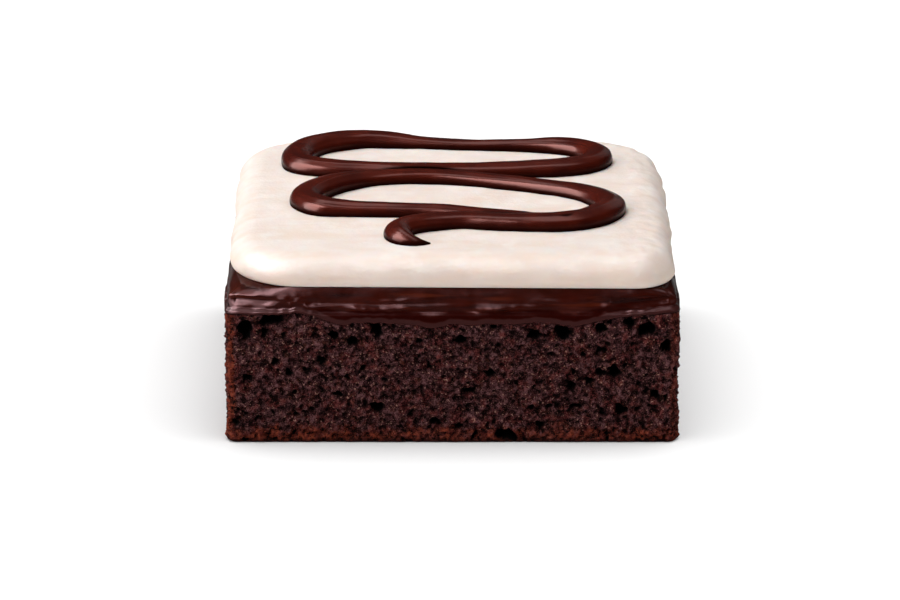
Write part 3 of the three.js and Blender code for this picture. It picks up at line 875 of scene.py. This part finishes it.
def bead(points, closed):
    """The path of the line, and vertices and faces of a rounded section swept along it."""
    path = evenly(curve_through(points, closed), closed)
    if closed:
        tangent = np.roll(path, -1, 0) - np.roll(path, 1, 0)
    else:
        tangent = np.gradient(path, axis=0)
    sideways = np.column_stack((tangent[:, 1], -tangent[:, 0]))
    sideways /= np.linalg.norm(sideways, axis=1)[:, None]
    turn, across, up = line_section()
    width = (path[:, 2] + LINE_EXTRA * np.clip(path[:, 2] - LINE_TIP, 0.0, 1.0))[:, None]

    swell = 1.0 + noise_layers(np.column_stack((path[:, :2], np.zeros(len(path)))), LINE_SWELL)[:, None]
    along = np.arange(len(path)) * LINE_STEP * RIDGES_ALONG
    along, round_section = np.meshgrid(along, turn * RIDGES_ROUND, indexing="ij")
    ridges = noise_layers(np.dstack((along, round_section, np.zeros_like(along))), LINE_RIDGES)
    swell = swell + ridges / width * np.sin(turn)

    place = path[:, None, :2] + sideways[:, None, :] * (across * width * swell)[..., None]
    rise = CREAM_TOP - LINE_SUNK + up * width * swell + LINE_SUNK * up / LINE_RISE
    vertices = np.dstack((place, rise))
    return path, vertices.reshape(-1, 3), tube_faces(*vertices.shape[:2], closed)


def grooves(places, paths):
    """How deep in a groove between two strands each place lies, from 0 to 1."""
    points = np.concatenate(paths)
    ways = [LOOPS_APART * k + np.arange(len(path)) * LINE_STEP for k, path in enumerate(paths)]
    along = np.concatenate(ways)
    loop_length = len(paths[0]) * LINE_STEP
    made = []
    for start in range(0, len(places), GROOVE_BATCH):
        part = places[start:start + GROOVE_BATCH, None, :2]
        share = np.linalg.norm(part - points[None, :, :2], axis=2) / (points[:, 2] / 2)
        apart = np.abs(along[None, :] - along[share.argmin(1)][:, None])
        other_way = (apart > loop_length / 2) & (apart < loop_length)
        apart = np.where(other_way, loop_length - apart, apart)
        other = np.where(apart > STRAND_APART, share, np.inf).min(1)
        made.append(smoothstep(share.min(1), *GROOVE_OWN) * (1.0 - smoothstep(other, *GROOVE_OTHER)))
    return np.concatenate(made)


def fused(rough):
    """The mesh of an object whose beads are fused into one, with a soft groove where they touch."""
    remesh = rough.modifiers.new("fuse", "REMESH")
    remesh.mode = "VOXEL"
    remesh.voxel_size = LINE_VOXEL * MM
    smooth = rough.modifiers.new("smooth", "SMOOTH")
    smooth.factor = 0.5
    smooth.iterations = LINE_SMOOTHING
    graph = bpy.context.evaluated_depsgraph_get()
    return bpy.data.meshes.new_from_object(rough.evaluated_get(graph))


def make_line():
    paths, vertices, faces = [], [], []
    for points, closed in ((BACK_LOOP, True), (FRONT_LINE, False)):
        path, made, made_faces = bead(points, closed)
        offset = sum(len(v) for v in vertices)
        paths.append(path)
        vertices.append(made)
        faces += [tuple(offset + i for i in face) for face in made_faces]
    rough = new_piece("line_rough", np.concatenate(vertices), faces)
    mesh = fused(rough)
    mesh.name = "piped_chocolate"
    mesh.shade_smooth()
    places = np.empty(3 * len(mesh.vertices), np.float32)
    mesh.vertices.foreach_get("co", places)
    # The groove share is painted as shade in the material.
    add_attribute(mesh, "groove_shade", grooves(places.reshape(-1, 3) / MM, paths))
    piece = add_object("piped_chocolate", mesh)
    bpy.data.objects.remove(rough)
    return finish_piece(piece, "piped_line", line_material())


# Materials


def new_material(name):
    return Shader(bpy.data.materials.new(name))


def srgb(red, green, blue):
    """A colour given as it looks on screen, 0 to 255, as the linear values that a shader takes."""
    def linear(value):
        share = value / 255
        return share / 12.92 if share <= 0.04045 else ((share + 0.055) / 1.055) ** 2.4
    return (linear(red), linear(green), linear(blue), 1.0)


def tones_of(look):
    """The colours of a look, as a shader takes them."""
    return {key: srgb(*tone) for key, tone in look.items() if len(tone) == 3}


class Shader:
    """Short ways to add and link the nodes of a material or a world. Sizes are in millimetres."""

    def __init__(self, owner, surface="Principled BSDF", place="Object"):
        owner.use_nodes = True
        self.nodes = owner.node_tree.nodes
        self.links = owner.node_tree.links
        self.owner = owner
        self.surface = self.nodes[surface]
        self.place = self.nodes.new("ShaderNodeTexCoord").outputs[place]

    def feed(self, node, inputs):
        """Gives each of these inputs of a node its value or its link."""
        for key, value in inputs.items():
            if hasattr(value, "is_output"):
                self.links.new(value, node.inputs[key])
            else:
                node.inputs[key].default_value = value
        return node

    def set(self, **values):
        for key, value in values.items():
            self.feed(self.surface, {key.replace("_", " ").title().replace("Ior", "IOR"): value})

    def z(self):
        return self.feed(self.nodes.new("ShaderNodeSeparateXYZ"), {0: self.place}).outputs["Z"]

    def height(self, low, high, end=1.0):
        """A share that grows from 0 at the height low to end at the height high."""
        return self.ramp(self.z(), low * MM, high * MM, end=end)

    def distance(self, low, high):
        """A share that grows from 0 to 1 between these distances from the middle of the underside."""
        node = self.nodes.new("ShaderNodeVectorMath")
        node.operation = "LENGTH"
        return self.ramp(self.feed(node, {0: self.place}).outputs["Value"], low * MM, high * MM)

    def stretched(self, x, y, z):
        node = self.nodes.new("ShaderNodeMapping")
        return self.feed(node, {"Vector": self.place, "Scale": (x, y, z)}).outputs["Vector"]

    def noise(self, size, detail=2.0, roughness=0.5, place=None, offset=0.0, distortion=0.0):
        node = self.nodes.new("ShaderNodeTexNoise")
        node.noise_dimensions = "4D"
        self.feed(node, {"Vector": place or self.place, "W": offset, "Scale": 1.0 / (size * MM)})
        self.feed(node, {"Detail": detail, "Roughness": roughness, "Distortion": distortion})
        return node.outputs["Fac"]

    def patches(self, size, low, high, start=0.0, end=1.0, **options):
        """Patches of noise: start where it is below low, end where it is above high."""
        return self.ramp(self.noise(size, **options), low, high, start, end)

    def attribute(self, name):
        node = self.nodes.new("ShaderNodeAttribute")
        node.attribute_name = name
        return node.outputs["Fac"]

    def ramp(self, value, low, high, start=0.0, end=1.0):
        node = self.nodes.new("ShaderNodeMapRange")
        node.interpolation_type = "SMOOTHSTEP"
        self.feed(node, {"Value": value, "From Min": low, "From Max": high})
        return self.feed(node, {"To Min": start, "To Max": end}).outputs["Result"]

    def mix(self, share, start, end):
        node = self.nodes.new("ShaderNodeMix")
        node.data_type = "RGBA"
        return self.feed(node, {0: share, 6: start, 7: end}).outputs[2]

    def math(self, kind, first, second):
        node = self.nodes.new("ShaderNodeMath")
        node.operation = kind
        return self.feed(node, {0: first, 1: second}).outputs[0]

    def weighted(self, first, weight, second):
        """The mean of two values, of which the first counts with this weight out of 1."""
        rest = self.math("MULTIPLY", second, 1.0 - weight)
        return self.math("ADD", self.math("MULTIPLY", first, weight), rest)

    def bump(self, height, distance, strength=1.0):
        """distance is the height of a full step of the height value."""
        node = self.nodes.new("ShaderNodeBump")
        self.feed(node, {"Height": height, "Distance": distance * MM, "Strength": strength})
        self.set(normal=node.outputs["Normal"])


def crumb_material():
    shader = new_material("crumb_matt")
    tones = tones_of(CRUMB_TONES)
    # One height field both bends the light and paints light and shade: lighter on the raised grains, darker
    # in the gaps between crumbs.
    coarse = shader.noise(0.42, detail=3.0, roughness=0.65, distortion=1.6)
    fine = shader.noise(0.17, roughness=0.6, offset=3.0, distortion=0.8)
    grain = shader.weighted(coarse, 0.55, fine)
    raised = shader.weighted(shader.attribute("raised"), 0.34, grain)
    red = shader.patches(1.1, 0.45, 0.64, offset=5.0)
    colour = shader.mix(red, tones["plain"], tones["red"])
    colour = shader.mix(shader.patches(0.9, 0.56, 0.7, offset=21.0), colour, tones["brown"])
    # Painted light: the raised grains are lighter, as where light falls on them.
    lit_grains = shader.mix(red, tones["raised"], tones["raised_red_lit"])
    colour = shader.mix(shader.ramp(raised, 0.5, 0.6), colour, lit_grains)
    # Painted highlight: small glints on the grains.
    colour = shader.mix(shader.patches(0.28, 0.63, 0.72, detail=1.0, offset=11.0), colour, tones["painted_glint"])
    # Baked crust, with painted rim light on the upright edges.
    baked_and_rim_lit = shader.mix(shader.patches(0.55, 0.35, 0.7, offset=15.0), tones["baked_and_rim_lit"], tones["baked_and_rim_lit_pale"])
    colour = shader.mix(shader.ramp(shader.attribute("crust_and_rim_light"), 0.1, 1.0, end=0.9), colour, baked_and_rim_lit)
    # Painted shade: darker along the foot.
    colour = shader.mix(shader.height(*CRUMB_FOOT_SHADE, end=0.75), colour, tones["foot"])
    # Painted shade in the gaps between grains.
    colour = shader.mix(shader.ramp(raised, 0.44, 0.53), tones["gap_shade"], colour)
    # Painted shade in the pores, down to near black.
    colour = shader.mix(shader.ramp(shader.attribute("hollow"), 0.05, 0.9), colour, tones["hollow"])
    shader.set(base_color=colour, roughness=0.6, specular_ior_level=0.03)
    shader.bump(grain, 0.5)
    return shader.owner


def chocolate_tone(shader, tones):
    return shader.mix(shader.patches(4.0, 0.35, 0.65), tones["dark"], tones["light"])


def finish_chocolate(shader, look, colour, gloss):
    """Gives the shader its colour and a gloss that varies, over a faintly uneven surface."""
    smooth, dull = look["roughness"]
    rough = shader.patches(1.8, 0.3, 0.7, smooth, dull, detail=3.0, offset=5.0)
    shader.set(base_color=colour, roughness=rough, specular_ior_level=gloss)
    shader.set(ior=CHOCOLATE_IOR, specular_tint=look["sheen"])
    shader.bump(shader.noise(0.9, offset=9.0), 0.012)
    return shader.owner


def icing_material():
    shader = new_material("icing_gloss")
    tones = tones_of(ICING_LOOK)
    colour = chocolate_tone(shader, tones)
    drawn_out = shader.stretched(0.1, 0.1, 1.0)
    deep = shader.patches(0.9, 0.5, 0.72, end=0.75, place=drawn_out, offset=2.0)
    colour = shader.mix(deep, colour, tones["deep_streak"])
    pale = shader.patches(0.7, 0.52, 0.75, end=0.7, place=drawn_out, offset=7.0)
    colour = shader.mix(pale, colour, tones["pale_streak"])
    under_cream, over_lip = shader.attribute("under_cream"), shader.attribute("over_lip")
    # Painted shade: a dark strip just under the cream.
    colour = shader.mix(under_cream, colour, tones["under_cream"])
    # Painted shade in the groove over the lip.
    colour = shader.mix(over_lip, colour, tones["over_lip"])
    # Painted reflection: the lip's face is paler.
    colour = shader.mix(shader.attribute("lip"), colour, tones["lip"])
    shaded = shader.math("MAXIMUM", under_cream, over_lip)
    gloss = shader.ramp(shaded, 0.0, 1.0, GLOSS, SHADED_GLOSS)
    return finish_chocolate(shader, ICING_LOOK, colour, gloss)


def line_material():
    """Painted shade darkens the foot and the grooves, where the chocolate lies in its own shade and the
    cream isn't mirrored.
    """
    shader = new_material("line_gloss")
    tones = tones_of(LINE_LOOK)
    foot_from, foot_to = LINE_FOOT_SHADE_END
    clear_of_foot_shade = shader.height(CREAM_TOP + foot_from, CREAM_TOP + foot_to)
    groove_shade = shader.attribute("groove_shade")
    # Painted shade at the foot.
    colour = shader.mix(clear_of_foot_shade, tones["foot"], chocolate_tone(shader, tones))
    # Painted shade in the grooves between touching strands.
    colour = shader.mix(groove_shade, colour, tones["groove_shade"])
    open_share = shader.math("SUBTRACT", clear_of_foot_shade, groove_shade)
    return finish_chocolate(shader, LINE_LOOK, colour, shader.ramp(open_share, 0.0, 0.9, end=GLOSS))


def cream_material():
    shader = new_material("cream_satin")
    tones = tones_of(CREAM_TONES)
    strokes = shader.stretched(0.25, 1.0, 1.0)
    smears = shader.patches(2.2, 0.35, 0.7, detail=3.0, place=strokes)
    colour = shader.mix(smears, tones["plain"], tones["smear"])
    colour = shader.mix(shader.patches(3.0, 0.4, 0.8, offset=4.0), colour, tones["pale"])
    # Painted shade: darker and warmer lower on the side.
    colour = shader.mix(shader.height(*CREAM_SIDE_SHADE, end=0.4), colour, tones["side"])
    shader.set(base_color=colour, roughness=0.5, subsurface_weight=0.5)
    shader.set(subsurface_scale=1.2 * MM, subsurface_radius=(1.0, 0.6, 0.4))
    coarse = shader.noise(0.8, detail=3.0, place=strokes)
    fine = shader.noise(0.45, detail=3.0, offset=8.0)
    shader.bump(shader.math("ADD", coarse, fine), 0.085, 0.8)
    return shader.owner


# Studio


def make_floor():
    """A white floor. Far from the cake it glows, so that it stays as white as the backdrop behind it."""
    half = FLOOR_SIZE / 2
    corners = [(-half, -half, 0.0), (half, -half, 0.0), (half, half, 0.0), (-half, half, 0.0)]
    floor = new_piece("floor", corners, [(0, 1, 2, 3)])
    shader = new_material("floor_white")
    shader.set(base_color=FLOOR_TONE, roughness=0.9, specular_ior_level=0.0)
    shader.set(emission_color=WHITE, emission_strength=shader.distance(*FLOOR_GLOW))
    floor.data.materials.append(shader.owner)
    floor.visible_glossy = False
    return floor


def make_world():
    """Dim surroundings, which are seen in the gloss. Behind the floor the picture shows a white backdrop."""
    world = bpy.data.worlds.new("studio")
    bpy.context.scene.world = world
    shader = Shader(world, "Background", place="Generated")
    ramp = shader.feed(shader.nodes.new("ShaderNodeValToRGB"), {"Fac": shader.z()})
    elements = ramp.color_ramp.elements
    while len(elements) < len(SURROUNDINGS):
        elements.new(1.0)
    for element, (position, brightness) in zip(elements, SURROUNDINGS):
        element.position = position
        element.color = (brightness, brightness, brightness, 1.0)
    in_picture = shader.nodes.new("ShaderNodeLightPath").outputs["Is Camera Ray"]
    shader.set(color=shader.mix(in_picture, ramp.outputs["Color"], WHITE))


def make_panel(name, place, brightness, size, lights, pieces):
    """A panel turned to the cake, which either lights these pieces or is only seen in their gloss.

    Its power follows from its size and how bright it looks. All pieces still cast their shadows."""
    light = bpy.data.lights.new(name, "AREA")
    light.shape = "RECTANGLE"
    light.size, light.size_y = size
    light.energy = brightness * size[0] * size[1] * math.pi
    panel = add_object(name, light)
    panel.location = place
    panel.rotation_mode = "QUATERNION"
    panel.rotation_quaternion = (Vector(LIGHT_TARGET) - Vector(place)).to_track_quat("-Z", "Y")
    panel.visible_camera = False
    panel.visible_diffuse = lights
    panel.visible_glossy = not lights
    receivers = bpy.data.collections.new(name + "_receivers")
    for piece in pieces:
        receivers.objects.link(piece)
    panel.light_linking.receiver_collection = receivers


def make_lights(**pieces):
    """A wall of light on the left with weaker panels round it, and ceilings that light the floor alone.

    What lights the cake isn't seen in its gloss, which has panels of its own."""
    for panels, lights in ((CAKE_PANELS, True), (SEEN_PANELS, False), (FLOOR_PANELS, True)):
        for *panel, reached in panels:
            make_panel(*panel, lights, [pieces[key] for key in reached])


def make_camera():
    data = bpy.data.cameras.new("camera")
    data.lens = CAMERA_LENS
    data.clip_start, data.clip_end = CAMERA_SEES
    camera = add_object("camera", data)
    camera.location = CAMERA_PLACE
    camera.rotation_euler = (CAMERA_PITCH, 0.0, 0.0)
    bpy.context.scene.camera = camera


make_camera()
make_world()
make_lights(
    crumb=make_crumb(), icing=make_icing(), cream=make_cream(), line=make_line(), floor=make_floor()
)
bpy.context.scene.view_settings.view_transform = "Standard"
